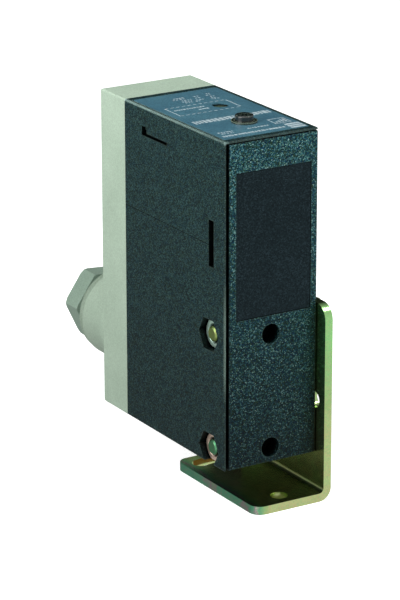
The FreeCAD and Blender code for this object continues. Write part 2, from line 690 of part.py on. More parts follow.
cover_screws = []
for i, (px, pz) in enumerate(post):
    head = cyl("CoverHead%d" % i, 2.35, 2.0, px, rear_y - 3.0, pz, "y")
    stem = cyl("CoverStem%d" % i, 1.5, 18.0, px, rear_y - 21.0, pz, "y")
    blank = fuse("CoverBlank%d" % i, [head, stem])
    c1 = box("CoverCrossA%d" % i, px - 1.4, px + 1.4, rear_y - 2.3, rear_y, pz - 0.3, pz + 0.3)
    c2 = box("CoverCrossB%d" % i, px - 0.3, px + 0.3, rear_y - 2.3, rear_y, pz - 1.4, pz + 1.4)
    cover_screws.append(cut("CoverScrew%d" % i, blank, [c1, c2]))
keep(compound("CoverScrews", cover_screws), "cover_screws")

# ==== cable gland ==========================================================
seal_o = cyl("SealOuter", chamber_r - 0.2, 4.0, gx, rear_y, gz, "y")
seal_i = cyl("SealInner", cable_r, 8.0, gx, rear_y - 2, gz, "y")
keep(cut("GlandSeal", seal_o, [seal_i]), "gland_seal")

hex_y0 = mouth_y + hex_gap
shank_y0 = hex_y0 - shank_l
ring_o = cyl("ThrustOuter", chamber_r - 0.3, 1.2, gx, shank_y0 - 1.25, gz, "y")
ring_i = cyl("ThrustInner", cable_r + 0.1, 6.0, gx, shank_y0 - 3, gz, "y")
keep(cut("ThrustRing", ring_o, [ring_i]), "gland_thrust_ring")

gn = new_body("GlandNut")
s = new_sketch(gn, "XZ_Plane", -hex_y0)
hexagon(s, gx, gz, hex_af, -4.5)
pad(gn, s, hex_t, reverse=True)
s = new_sketch(gn, "XZ_Plane", -hex_y0)
circle(s, gx, gz, shank_r)
pad(gn, s, shank_l, reverse=False)
s = new_sketch(gn, "XZ_Plane", -(hex_y0 + hex_t))
circle(s, gx, gz, cable_r)
pocket(gn, s, hex_t + shank_l, reverse=True)
doc.recompute()
names = edges_where(gn.Shape, lambda e, b: near(b.YMin, hex_y0.v + hex_t.v) and near(b.YMax, hex_y0.v + hex_t.v) and near(b.XLength, 2 * cable_r.v, 0.1))
dress(gn, "Fillet", names, 1.2)
names = edges_where(gn.Shape, lambda e, b: near(b.YMin, shank_y0.v) and near(b.YMax, shank_y0.v) and b.XLength > 14)
dress(gn, "Chamfer", names, 0.5)
# the hexagon's corners are turned to a cone on both faces
keep(gn, "gland_nut_blank")
parts.pop()
turn_r = hex_af * (1.0 / math.sqrt(3.0))
tc_a = cone("HexTurnOut", turn_r + 4.0, turn_r - 0.65, 4.65, gx, hex_y0 + hex_t - 4.65, gz, "y")
tc_b = cone("HexTurnIn", turn_r - 0.35, turn_r + 4.0, 4.35, gx, hex_y0, gz, "y")
tc_c = cyl("HexTurnShank", shank_r + 0.5, shank_l + 0.1, gx, shank_y0 - 0.1, gz, "y")
tc_ab = doc.addObject("Part::MultiCommon", "HexTurnHead")
tc_ab.Shapes = [cyl("HexTurnHeadBlank", turn_r + 2.0, hex_t, gx, hex_y0, gz, "y"),
                fuse("HexTurnProfileA", [tc_a, cyl("HexTurnA2", turn_r + 5, 1.9, gx, hex_y0, gz, "y")])]
tc_in = doc.addObject("Part::MultiCommon", "HexTurnHeadB")
tc_in.Shapes = [tc_ab, fuse("HexTurnProfileB", [tc_b, cyl("HexTurnB2", turn_r + 5, 2.1, gx, hex_y0 + 4.3, gz, "y")])]
tc = fuse("HexTurnAll", [tc_in, tc_c])
gnut = doc.addObject("Part::MultiCommon", "GlandNutTurned")
gnut.Shapes = [gn, tc]
keep(gnut, "gland_nut")

# ==== mounting bracket =====================================================
br = new_body("MountingBracket")
s = new_sketch(br, "XZ_Plane", strip_w * 0.5)
ux0 = right_x
ux1 = right_x + steel_t
poly(s, [(ux1 - foot_l, 0.0), (ux1, 0.0), (ux1, upright_h), (ux0, upright_h), (ux0, steel_t), (ux1 - foot_l, steel_t)])
pad(br, s, strip_w, reverse=True)
names = edges_where(br.Shape, lambda e, b: along(b, "y") and near(b.XMax, ux1.v) and near(b.ZMax, 0.0))
dress(br, "Fillet", names, bend_r + steel_t)
names = edges_where(br.Shape, lambda e, b: along(b, "y") and near(b.XMax, ux0.v) and near(b.ZMax, steel_t.v))
dress(br, "Fillet", names, bend_r)
names = edges_where(br.Shape, lambda e, b: along(b, "x") and near(b.ZMax, upright_h.v))
dress(br, "Fillet", names, up_corner)
names = edges_where(br.Shape, lambda e, b: along(b, "z") and near(b.XMax, ux1.v - foot_l.v))
dress(br, "Fillet", names, foot_corner)
s = new_sketch(br, "XY_Plane", steel_t)
circle(s, 0.0, -foot_pitch * 0.5, foot_hole_r)
pocket(br, s, steel_t)
s = new_sketch(br, "YZ_Plane", ux0)
circle(s, screw_row_y, low_z, up_hole_r)
circle(s, screw_row_y, high_z, up_hole_r)
circle(s, -foot_pitch * 0.5, spare_z, up_hole_r)
circle(s, foot_pitch * 0.5, spare_z, up_hole_r)
pocket(br, s, steel_t, reverse=True)
# curved adjustment slot in the foot, centred on the round foot hole
slot_a = 10.0
outer = doc.addObject("Part::Cylinder", "SlotOuter")
bind(outer, "Radius", foot_pitch + foot_hole_r)
bind(outer, "Height", steel_t + 2.0)
bind(outer, "Angle", lift(2 * slot_a))
place(outer, 0.0, -foot_pitch * 0.5, -1.0, Rotation(Vector(0, 0, 1), 90 - slot_a))
inner = cyl("SlotInner", foot_pitch - foot_hole_r, steel_t + 4.0, 0.0, -foot_pitch * 0.5, -2.0)
arc = cut("SlotArc", outer, [inner])
sa = math.sin(math.radians(slot_a))
ca = math.cos(math.radians(slot_a))
end_l = cyl("SlotEndL", foot_hole_r, steel_t + 2.0, foot_pitch * (-sa), foot_pitch * (ca - 0.5), -1.0)
end_r = cyl("SlotEndR", foot_hole_r, steel_t + 2.0, foot_pitch * sa, foot_pitch * (ca - 0.5), -1.0)
keep(cut("BracketSlotted", br, [arc, end_l, end_r]), "mounting_bracket")

# ==== cross screws, washers and nuts ======================================
fw_t, sw_t = 0.8, 1.0
w_x = ux1
bolts, flats, springs, nuts = [], [], [], []
for i, zz in enumerate((low_z, high_z)):
    flats.append(cut("FlatWasher%d" % i, cyl("FlatBlank%d" % i, 4.5, fw_t, w_x, screw_row_y, zz, "x"),
                     [cyl("FlatBore%d" % i, 2.15, 4.0, w_x - 1, screw_row_y, zz, "x")]))
    springs.append(cut("SpringWasher%d" % i, cyl("SpringBlank%d" % i, 3.7, sw_t, w_x + fw_t, screw_row_y, zz, "x"),
                       [cyl("SpringBore%d" % i, 2.12, 4.0, w_x, screw_row_y, zz, "x"),
                        box("SpringSplit%d" % i, w_x, w_x + 4, screw_row_y - 0.3, screw_row_y + 0.3, zz, zz + 5.0)]))
    seat = w_x + fw_t + sw_t
    head = cyl("BoltHead%d" % i, 4.0, 1.5, seat, screw_row_y, zz, "x")
    dome = doc.addObject("Part::Sphere", "BoltDome%d" % i)
    bind(dome, "Radius", 5.6)
    place(dome, seat - 2.48, screw_row_y, zz)
    domec = doc.addObject("Part::MultiCommon", "BoltDomeCut%d" % i)
    domec.Shapes = [dome, cyl("BoltDomeTube%d" % i, 4.0, 3.1, seat, screw_row_y, zz, "x")]
    stem = cyl("BoltStem%d" % i, 1.97, 29.75, seat - 29.75, screw_row_y, zz, "x")
    tip = cone("BoltTip%d" % i, 1.55, 1.97, 0.35, seat - 30.1, screw_row_y, zz, "x")
    blank = fuse("BoltBlank%d" % i, [head, domec, stem, tip])
    c1 = box("BoltCrossA%d" % i, seat + 1.2, seat + 4, screw_row_y - 2.2, screw_row_y + 2.2, zz - 0.45, zz + 0.45)
    c2 = box("BoltCrossB%d" % i, seat + 1.2, seat + 4, screw_row_y - 0.45, screw_row_y + 0.45, zz - 2.2, zz + 2.2)
    bolts.append(cut("Bolt%d" % i, blank, [c1, c2]))
    nx = left_x + nut_depth
    hx = doc.addObject("Part::RegularPolygon", "NutOutline%d" % i)
    hx.Polygon = 6
    bind(hx, "Circumradius", nut_af * (1.0 / math.sqrt(3.0)))
    place(hx, nx, screw_row_y, zz, Rotation(Vector(0, 0, 1), 90) * Rotation(Vector(1, 0, 0), 90))
    ex = doc.addObject("Part::Extrusion", "NutPrism%d" % i)
    ex.Base = hx
    ex.DirMode = "Custom"
    ex.Dir = Vector(1, 0, 0)
    bind(ex, "LengthFwd", nut_t)
    ex.Solid = True
    nr = nut_af * (1.0 / math.sqrt(3.0))
    n_turn = doc.addObject("Part::MultiCommon", "NutTurned%d" % i)
    n_c1 = cone("NutConeA%d" % i, nr - 0.45, nr + 6.0, 4.0, nx, screw_row_y, zz, "x")
    n_turn.Shapes = [ex, n_c1]
    bore = cyl("NutBore%d" % i, 2.0, 6.0, nx - 1, screw_row_y, zz, "x")
    sink = cone("NutSink%d" % i, 2.65, 2.0, 0.65, nx, screw_row_y, zz, "x")
    nuts.append(cut("Nut%d" % i, n_turn, [bore, sink]))
keep(compound("BracketScrews", bolts), "bracket_screws")
keep(compound("FlatWashers", flats), "flat_washers")
keep(compound("SpringWashers", springs), "spring_washers")
keep(compound("BracketNuts", nuts), "bracket_nuts")

# ==== check and write ======================================================
doc.recompute()
for o in doc.Objects:
    if "Invalid" in o.State or "Error" in o.State:
        raise RuntimeError("failed object: " + o.Name)
os.makedirs("parts", exist_ok=True)
for p in parts:
    shape = p.Shape
    if shape.isNull() or not shape.isValid() or not shape.Solids:
        raise RuntimeError("bad shape: " + p.Label)
    shape.exportStep("parts/" + p.Label + ".step")
    b = shape.BoundBox
    print("%-22s solids %d  volume %9.2f  x %.2f..%.2f  y %.2f..%.2f  z %.2f..%.2f" % (
        p.Label, len(shape.Solids), shape.Volume, b.XMin, b.XMax, b.YMin, b.YMax, b.ZMin, b.ZMax))
print("parts", len(parts))
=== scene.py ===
import bpy, bmesh, math
from mathutils import Vector, Matrix


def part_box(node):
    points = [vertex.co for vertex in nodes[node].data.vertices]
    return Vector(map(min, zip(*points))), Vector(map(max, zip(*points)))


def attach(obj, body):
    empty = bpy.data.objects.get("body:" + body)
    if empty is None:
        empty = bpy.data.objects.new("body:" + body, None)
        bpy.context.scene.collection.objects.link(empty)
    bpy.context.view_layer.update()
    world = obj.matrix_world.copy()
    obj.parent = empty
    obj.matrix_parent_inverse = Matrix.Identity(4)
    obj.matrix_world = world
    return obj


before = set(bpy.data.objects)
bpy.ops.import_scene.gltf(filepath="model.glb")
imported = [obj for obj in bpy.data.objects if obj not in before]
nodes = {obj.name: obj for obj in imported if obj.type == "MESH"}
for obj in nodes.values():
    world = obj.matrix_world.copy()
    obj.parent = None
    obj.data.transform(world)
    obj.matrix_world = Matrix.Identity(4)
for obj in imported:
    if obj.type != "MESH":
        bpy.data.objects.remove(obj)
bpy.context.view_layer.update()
scene = bpy.context.scene

MM = 0.001


def lin(r, g, b):
    """sRGB 0..255 to linear."""
    out = []
    for c in (r, g, b):
        c = c / 255.0
        out.append(c / 12.92 if c <= 0.04045 else ((c + 0.055) / 1.055) ** 2.4)
    return (out[0], out[1], out[2], 1.0)


# ---------------------------------------------------------------- materials
class Mat(object):
    """A small wrapper round one node tree."""

    def __init__(self, name):
        self.m = bpy.data.materials.new(name)
        self.m.use_nodes = True
        self.t = self.m.node_tree
        self.t.nodes.clear()
        self.out = self.t.nodes.new("ShaderNodeOutputMaterial")
        self.b = self.t.nodes.new("ShaderNodeBsdfPrincipled")
        self.t.links.new(self.b.outputs[0], self.out.inputs[0])
        self.co = self.t.nodes.new("ShaderNodeTexCoord").outputs["Object"]

    def link(self, a, b):
        self.t.links.new(a, b)

    def put(self, socket, value):
        if hasattr(value, "is_output"):
            self.link(value, socket)
        else:
            socket.default_value = value

    def set(self, **kw):
        names = {"base": "Base Color", "rough": "Roughness", "metal": "Metallic", "ior": "IOR", "spec": "Specular IOR Level",
                 "coat": "Coat Weight", "coat_rough": "Coat Roughness", "sheen": "Sheen Weight", "normal": "Normal",
                 "aniso": "Anisotropic", "trans": "Transmission Weight", "sss": "Subsurface Weight", "emit": "Emission Color",
                 "emit_s": "Emission Strength", "tint": "Specular Tint", "coat_normal": "Coat Normal", "coat_tint": "Coat Tint",
                 "sss_scale": "Subsurface Scale", "aniso_rot": "Anisotropic Rotation", "alpha": "Alpha"}
        for k, v in kw.items():
            self.put(self.b.inputs[names[k]], v)
        return self

    def scaled(self, sx, sy, sz, loc=(0, 0, 0)):
        n = self.t.nodes.new("ShaderNodeMapping")
        n.inputs["Scale"].default_value = (sx, sy, sz)
        n.inputs["Location"].default_value = loc
        self.link(self.co, n.inputs["Vector"])
        return n.outputs[0]

    def noise(self, scale, detail=2.0, rough=0.5, vec=None, distort=0.0):
        n = self.t.nodes.new("ShaderNodeTexNoise")
        n.inputs["Scale"].default_value = scale
        n.inputs["Detail"].default_value = detail
        n.inputs["Roughness"].default_value = rough
        n.inputs["Distortion"].default_value = distort
        self.link(vec or self.co, n.inputs["Vector"])
        return n.outputs["Fac"]

    def voronoi(self, scale, feature="F1", vec=None, smooth=None, out="Distance", rand=1.0):
        n = self.t.nodes.new("ShaderNodeTexVoronoi")
        n.feature = feature
        n.inputs["Scale"].default_value = scale
        n.inputs["Randomness"].default_value = rand
        if smooth is not None:
            n.inputs["Smoothness"].default_value = smooth
        self.link(vec or self.co, n.inputs["Vector"])
        return n.outputs[out]

    def ramp(self, fac, stops, interp="LINEAR"):
        n = self.t.nodes.new("ShaderNodeValToRGB")
        e = n.color_ramp.elements
        n.color_ramp.interpolation = interp
        e[0].position, e[0].color = stops[0]
        e[1].position, e[1].color = stops[-1]
        for pos, col in stops[1:-1]:
            x = e.new(pos)
            x.color = col
        self.link(fac, n.inputs["Fac"])
        return n.outputs["Color"]

    def vary(self, fac, lo0, hi0, lo1, hi1):
        n = self.t.nodes.new("ShaderNodeMapRange")
        n.inputs["From Min"].default_value = lo0
        n.inputs["From Max"].default_value = hi0
        n.inputs["To Min"].default_value = lo1
        n.inputs["To Max"].default_value = hi1
        self.link(fac, n.inputs["Value"])
        return n.outputs["Result"]

    def mix(self, fac, a, b, blend="MIX"):
        n = self.t.nodes.new("ShaderNodeMix")
        n.data_type = "RGBA"
        n.blend_type = blend
        self.put(n.inputs[0], fac)
        self.put(n.inputs[6], a)
        self.put(n.inputs[7], b)
        return n.outputs[2]

    def math(self, op, a, b=None, c=None):
        n = self.t.nodes.new("ShaderNodeMath")
        n.operation = op
        self.put(n.inputs[0], a)
        if b is not None:
            self.put(n.inputs[1], b)
        if c is not None:
            self.put(n.inputs[2], c)
        return n.outputs[0]

    def bump(self, height, distance, strength=1.0, normal=None):
        n = self.t.nodes.new("ShaderNodeBump")
        n.inputs["Strength"].default_value = strength
        n.inputs["Distance"].default_value = distance
        self.link(height, n.inputs["Height"])
        if normal is not None:
            self.link(normal, n.inputs["Normal"])
        return n.outputs[0]

    def edge(self, radius, lo=0.0, hi=0.25):
        """0 on flat faces, 1 on convex edges, from the rounded normal; the mask for painted edge highlights and
        glossier edges.
        """
        bev = self.t.nodes.new("ShaderNodeBevel")
        bev.samples = 4
        bev.inputs["Radius"].default_value = radius
        geo = self.t.nodes.new("ShaderNodeNewGeometry")
        dot = self.t.nodes.new("ShaderNodeVectorMath")
        dot.operation = "DOT_PRODUCT"
        self.link(bev.outputs[0], dot.inputs[0])
        self.link(geo.outputs["True Normal"], dot.inputs[1])
        inv = self.math("SUBTRACT", 1.0, dot.outputs["Value"])
        return self.vary(inv, lo, hi, 0.0, 1.0)

    def shade(self, distance, lo=0.25, hi=0.85, floor=0.0):
        """0 in deep gaps, 1 on open faces."""
        n = self.t.nodes.new("ShaderNodeAmbientOcclusion")
        n.samples = 6
        n.inputs["Distance"].default_value = distance
        return self.vary(n.outputs["AO"], lo, hi, floor, 1.0)

    def split(self, colour):
        n = self.t.nodes.new("ShaderNodeSeparateColor")
        self.link(colour, n.inputs[0])
        return n.outputs[0], n.outputs[1], n.outputs[2]

    def grey(self, value):
        n = self.t.nodes.new("ShaderNodeCombineColor")
        for i in range(3):
            self.link(value, n.inputs[i])
        return n.outputs[0]

    def axis(self, name):
        n = self.t.nodes.new("ShaderNodeSeparateXYZ")
        self.link(self.co, n.inputs[0])
        return n.outputs[name]


def plastic(name, dark, light, rough=(0.42, 0.56), grain=2600.0, depth=0.000012, blotch=90.0, spec=0.5, edge=None,
            tint=(1, 1, 1, 1), painted_shading=None, speck=None):
    """Moulded plastic: fine eroded grain, slow colour drift, uneven gloss."""
    m = Mat(name)
    slow = m.noise(blotch, 4.0, 0.6)
    fine = m.noise(grain, 3.0, 0.65)
    col = m.ramp(m.math("ADD", m.math("MULTIPLY", slow, 0.55), m.math("MULTIPLY", fine, 0.45)), [(0.36, dark), (0.64, light)])
    # painted highlight: convex edges are mixed towards a lighter colour
    if edge is not None:
        col = m.mix(m.math("MULTIPLY", m.edge(0.0005), edge[1]), col, edge[0])
    if speck is not None:
        r, g, b = m.split(m.voronoi(speck[0], "F1", out="Color"))
        col = m.mix(1.0, col, m.grey(m.vary(r, 0.0, 1.0, 1.0 - speck[1], 1.0 + speck[1])), "MULTIPLY")
    # painted shade: the colour is scaled up or down along the given axes
    for ax, p0, p1, v0, v1 in painted_shading or ():
        col = m.mix(1.0, col, m.grey(m.vary(m.axis(ax), p0, p1, v0, v1)), "MULTIPLY")
    m.set(base=col, rough=m.vary(slow, 0.3, 0.7, rough[0], rough[1]), spec=spec, tint=tint,
          normal=m.bump(fine, depth))
    return m.m


def zinc(name, stops, rough=(0.22, 0.38), streak=(1.0, 1.0, 1.0), scale=160.0, bump=0.000006):
    """Passivated zinc: metal whose colour drifts through the interference tints."""
    m = Mat(name)
    slow = m.noise(scale, 3.0, 0.55, m.scaled(*streak), distort=0.6)
    fine = m.noise(3800.0, 2.0, 0.6)
    m.set(base=m.ramp(slow, stops), metal=1.0,
          rough=m.vary(m.noise(420.0, 4.0, 0.6), 0.3, 0.7, rough[0], rough[1]),
          normal=m.bump(fine, bump))
    return m.m


def assign(node, mat):
    o = nodes[node]
    if o.data.materials:
        for i in range(len(o.data.materials)):
            o.data.materials[i] = mat
    else:
        o.data.materials.append(mat)


M = {}
# -- black housing: spark-eroded moulding, with painted highlights along the edges and painted shade
def moulded(name, stops, cell=3300.0, hue=(lin(20, 40, 52), lin(40, 52, 34)), hue_amount=0.25, rough=(0.34, 0.44), rough_edge=0.14,
            spec=0.18, depth=0.00002, edge_highlight_col=lin(60, 74, 70), edge_highlight_amount=0.35, painted_shading=None, edge_r=0.0005, lip_highlight=None):
    m = Mat(name)
    slow = m.noise(60.0, 3.0, 0.6)
    soft = m.noise(cell * 0.55, 2.0, 0.6)
    r, g, b = m.split(m.voronoi(cell, "F1", out="Color"))
    lum = m.math("ADD", m.math("MULTIPLY", r, 0.80), m.math("ADD", m.math("MULTIPLY", soft, 0.16), m.math("MULTIPLY", slow, 0.04)))
    col = m.ramp(lum, stops)
    tintc = m.ramp(g, [(0.0, hue[0]), (0.45, hue[0]), (0.55, hue[1]), (1.0, hue[1])])
    col = m.mix(m.math("MULTIPLY", b, hue_amount), col, tintc)
    # painted shade: the colour is darker towards the bottom and lighter towards the top
    if painted_shading is not None:
        z = m.vary(m.axis("Z"), painted_shading[0], painted_shading[1], painted_shading[2], painted_shading[3])
        col = m.mix(1.0, col, m.grey(z), "MULTIPLY")
    # painted highlight: convex edges are mixed towards a lighter colour
    e = m.edge(edge_r)
    col = m.mix(m.math("MULTIPLY", e, edge_highlight_amount), col, edge_highlight_col)
    if lip_highlight is not None:
        # painted highlight: the top rim is painted bright, most on the left
        near_top = m.vary(m.axis("Z"), 0.0960, 0.0966, 0.0, 1.0)
        on_left = m.vary(m.axis("X"), -0.0160, -0.0150, 1.0, lip_highlight[1])
        highlight_edge_mask = m.edge(0.0004, 0.0, 0.035)
        # the painted highlight on the top edge is strongest towards the back
        top_highlight_mask = m.math("MULTIPLY", m.math("MULTIPLY", near_top, on_left), m.vary(m.axis("Y"), -0.014, 0.022, 0.50, 1.0))
        col = m.mix(m.math("MULTIPLY", highlight_edge_mask, top_highlight_mask), col, lip_highlight[0])
        # a painted highlight half way down the upright front edge
        front_edge_highlight_mask = m.math("MULTIPLY", m.vary(m.axis("Z"), 0.030, 0.038, 0.0, 1.0), m.vary(m.axis("Z"), 0.052, 0.062, 1.0, 0.0))
        front_edge_highlight_mask = m.math("MULTIPLY", front_edge_highlight_mask, m.math("MULTIPLY", m.vary(m.axis("Y"), -0.0150, -0.0144, 0.7, 0.0),
                                               m.vary(m.axis("X"), -0.0160, -0.0150, 1.0, 0.0)))
        col = m.mix(m.math("MULTIPLY", highlight_edge_mask, front_edge_highlight_mask), col, lin(136, 160, 148))
    # painted shade: darker in gaps and recesses
    col = m.mix(1.0, col, m.grey(m.shade(0.005, 0.46, 0.92, 0.03)), "MULTIPLY")
    ro = m.vary(slow, 0.3, 0.7, rough[0], rough[1])
    ro = m.math("ADD", m.math("MULTIPLY", ro, m.math("SUBTRACT", 1.0, e)), m.math("MULTIPLY", e, rough_edge))
    m.set(base=col, rough=ro, spec=spec, normal=m.bump(m.math("ADD", soft, m.math("MULTIPLY", r, 0.3)), depth))
    return m.m


# painted shade darker towards the bottom; painted highlights along the edges, the top rim and the front edge
M["body"] = moulded("body_black_mat", [(0.10, lin(0, 0, 2)), (0.40, lin(0, 26, 29)), (0.64, lin(20, 52, 53)), (0.90, lin(70, 102, 98))],
                    cell=4500.0, hue=(lin(0, 42, 72), lin(50, 60, 28)), hue_amount=0.40, spec=0.12, painted_shading=(0.012, 0.097, 0.66, 1.08),
                    lip_highlight=(lin(200, 236, 226), 0.15), edge_highlight_col=lin(84, 100, 92), edge_highlight_amount=0.42)
# painted shade darker towards the bottom; painted highlights along the edges and rim; the brightest grains are painted
# glints
M["bezel"] = moulded("bezel_black_mat", [(0.10, lin(0, 6, 12)), (0.42, lin(0, 36, 42)), (0.66, lin(22, 74, 80)), (0.84, lin(88, 144, 144)),
                                         (0.94, lin(186, 228, 216))],
                     cell=4300.0, hue=(lin(0, 74, 122), lin(76, 112, 66)), hue_amount=0.36, rough=(0.36, 0.5), rough_edge=0.2,
                     spec=0.12, depth=0.00006, edge_highlight_col=lin(90, 112, 106), edge_highlight_amount=0.45, painted_shading=(0.012, 0.097, 0.28, 1.24),
                     lip_highlight=(lin(176, 194, 180), 0.6))

# -- infrared-pass window
m = Mat("daylight_filter_mat")
flow = m.noise(55.0, 2.0, 0.5)
r, g, b = m.split(m.voronoi(3400.0, "F1", out="Color"))
m.set(base=m.ramp(m.math("ADD", m.math("MULTIPLY", r, 0.7), m.math("MULTIPLY", flow, 0.3)),
                  [(0.2, lin(12, 28, 33)), (0.7, lin(27, 44, 49)), (0.93, lin(46, 64, 72))]),
      rough=m.vary(flow, 0.3, 0.8, 0.20, 0.30), spec=0.10, normal=m.bump(flow, 0.00003, 0.6))
M["window"] = m.m

# -- rear cover and gland
# painted shade: the cover is lighter towards the top and darker on the boss behind; a painted highlight runs along its
# edges
M["cover"] = plastic("cover_grey_mat", lin(170, 191, 171), lin(182, 203, 183), rough=(0.46, 0.58), grain=2600.0, depth=0.000008,
                     spec=0.15, edge=(lin(206, 220, 202), 0.2), speck=(3600.0, 0.09),
                     painted_shading=(("Z", 0.020, 0.095, 0.87, 1.10), ("Y", 0.0483, 0.0498, 1.0, 0.91)))
# painted highlight along the gland's edges
M["gland"] = plastic("gland_grey_mat", lin(131, 153, 137), lin(143, 164, 149), rough=(0.46, 0.58), grain=2600.0, depth=0.00001,
                     spec=0.15, edge=(lin(158, 176, 160), 0.25), speck=(3600.0, 0.09))

# -- printed label plate
m = Mat("label_blue_mat")
slow = m.noise(70.0, 3.0, 0.55)
fine = m.noise(3000.0, 3.0, 0.6)
m.set(base=m.ramp(m.math("ADD", m.math("MULTIPLY", slow, 0.7), m.math("MULTIPLY", fine, 0.3)),
                  [(0.36, lin(68, 114, 134)), (0.64, lin(84, 132, 148))]),
      rough=m.vary(fine, 0.3, 0.7, 0.30, 0.42), spec=0.4, normal=m.bump(fine, 0.000006))
r, g, b = m.split(m.voronoi(3200.0, "F1", out="Color"))
base = m.b.inputs["Base Color"].links[0].from_socket
m.set(base=m.mix(1.0, base, m.grey(m.vary(r, 0.0, 1.0, 0.78, 1.16)), "MULTIPLY"))
M["label"] = m.m
m = Mat("print_white_mat")
fine = m.noise(4200.0, 3.0, 0.7)
m.set(base=m.ramp(fine, [(0.34, lin(150, 178, 188)), (0.6, lin(206, 222, 226))]), rough=0.5, spec=0.4,
      normal=m.bump(fine, 0.000004))
M["print"] = m.m

# -- indicator window, collar and adjuster
m = Mat("led_window_mat")
fine = m.noise(900.0, 3.0, 0.6)
m.set(base=m.ramp(fine, [(0.35, lin(62, 78, 66)), (0.65, lin(84, 98, 78))]), rough=0.28, spec=0.5,
      sss=0.25, sss_scale=0.0008, normal=m.bump(m.noise(260.0), 0.00002))
m.b.inputs["Subsurface Radius"].default_value = (0.6, 0.8, 0.4)
M["ledwin"] = m.m
# the collar and spindle edges carry painted highlights
M["ring"] = plastic("ring_dark_mat", lin(24, 40, 38), lin(52, 68, 58), rough=(0.10, 0.18), grain=2200.0, depth=0.000012,
                    spec=1.0, edge=(lin(176, 190, 160), 0.7))
M["spindle"] = plastic("spindle_dark_mat", lin(10, 20, 22), lin(26, 38, 38), rough=(0.10, 0.20), grain=2200.0, depth=0.000014,
                       spec=1.0, edge=(lin(120, 140, 126), 0.55))

# -- metals: zinc under a yellow-green chromate film, and a paler one on the screws and nuts
def chromate(name, stops, scale=70.0, stretch=(1.0, 1.0, 1.0), rough=(0.22, 0.36), fleck=0.12, depth=0.000008,
             flecks=(lin(90, 190, 130), lin(206, 150, 140)), drift=None, share=0.5, gap=None, only=None,
             wash=None):
    m = Mat(name)
    slow = m.noise(scale, 3.0, 0.6, m.scaled(*stretch), distort=1.2)
    mid = m.noise(scale * 6.0, 3.0, 0.6)
    r, g, b = m.split(m.voronoi(2600.0, "F1", out="Color"))
    film = m.math("ADD", m.math("MULTIPLY", slow, 0.78), m.math("MULTIPLY", mid, 0.22))
    if drift is not None:
        # the film thins out along one direction of the part
        d = m.vary(m.axis(drift[0]), drift[1], drift[2], drift[3], drift[4])
        k = share if only is None else m.vary(m.axis(only[0]), only[1], only[2], share, 0.0)
        film = m.math("ADD", film, m.math("MULTIPLY", m.math("SUBTRACT", d, film), k))
    col = m.ramp(film, stops)
    fl = m.ramp(g, [(0.0, flecks[0]), (0.5, flecks[0]), (0.56, flecks[1]), (1.0, flecks[1])])
    col = m.mix(m.math("MULTIPLY", r, fleck), col, fl)
    # painted shade: darker in gaps and crevices
    if gap is not None:
        col = m.mix(1.0, col, m.grey(m.shade(gap, 0.30, 0.75, 0.03)), "MULTIPLY")
    if wash is not None:
        col = m.mix(m.vary(m.axis(wash[0]), wash[1], wash[2], 0.0, 1.0), col, m.mix(1.0, col, wash[3], "MULTIPLY"))
    m.set(base=col, metal=1.0, rough=m.vary(m.noise(500.0, 4.0, 0.65), 0.3, 0.7, rough[0], rough[1]),
          normal=m.bump(m.noise(2200.0, 3.0, 0.65), depth))
    return m.m


M["bracket"] = chromate("bracket_chromate_mat", [
    (0.26, (0.10, 0.34, 0.22, 1)), (0.36, (0.13, 0.44, 0.26, 1)), (0.395, (0.36, 0.28, 0.30, 1)), (0.43, (0.20, 0.54, 0.28, 1)),
    (0.52, (0.46, 0.64, 0.25, 1)), (0.58, (0.62, 0.66, 0.30, 1)), (0.65, (0.57, 0.76, 0.32, 1)), (0.75, (0.58, 0.88, 0.40, 1))],
    scale=62.0, rough=(0.14, 0.24), fleck=0.20, drift=("X", -0.0098, -0.0050, 0.22, 0.68), share=0.55,
    wash=("Z", 0.018, 0.034, (0.70, 1.08, 0.96, 1)))
# the nuts and screws get painted shade in their crevices
M["nut"] = chromate("nut_zinc_mat", [(0.32, (0.84, 0.62, 0.52, 1)), (0.45, (0.88, 0.74, 0.60, 1)), (0.54, (0.64, 0.90, 0.78, 1)),
                                     (0.72, (0.68, 0.94, 0.82, 1))], scale=240.0, rough=(0.40, 0.54),
                    drift=("Z", 0.024, 0.038, 0.34, 0.66), share=0.7, gap=0.0014)
M["screw"] = chromate("screw_zinc_mat", [(0.28, (0.06, 0.22, 0.12, 1)), (0.36, (0.10, 0.28, 0.14, 1)), (0.44, (0.44, 0.62, 0.26, 1)), (0.54, (0.60, 0.70, 0.32, 1)),
                                         (0.64, (0.52, 0.66, 0.28, 1)), (0.76, (0.22, 0.30, 0.09, 1))], scale=420.0, rough=(0.36, 0.50),
                      drift=("Z", 0.024, 0.038, 0.32, 0.78), share=0.9, gap=0.0014, only=("X", -0.0140, -0.0120))
plain_stops = [(0.30, (0.58, 0.60, 0.60, 1)), (0.50, (0.66, 0.67, 0.64, 1)), (0.70, (0.54, 0.55, 0.52, 1))]
M["tin"] = zinc("tin_mat", plain_stops, rough=(0.26, 0.42), scale=500.0)

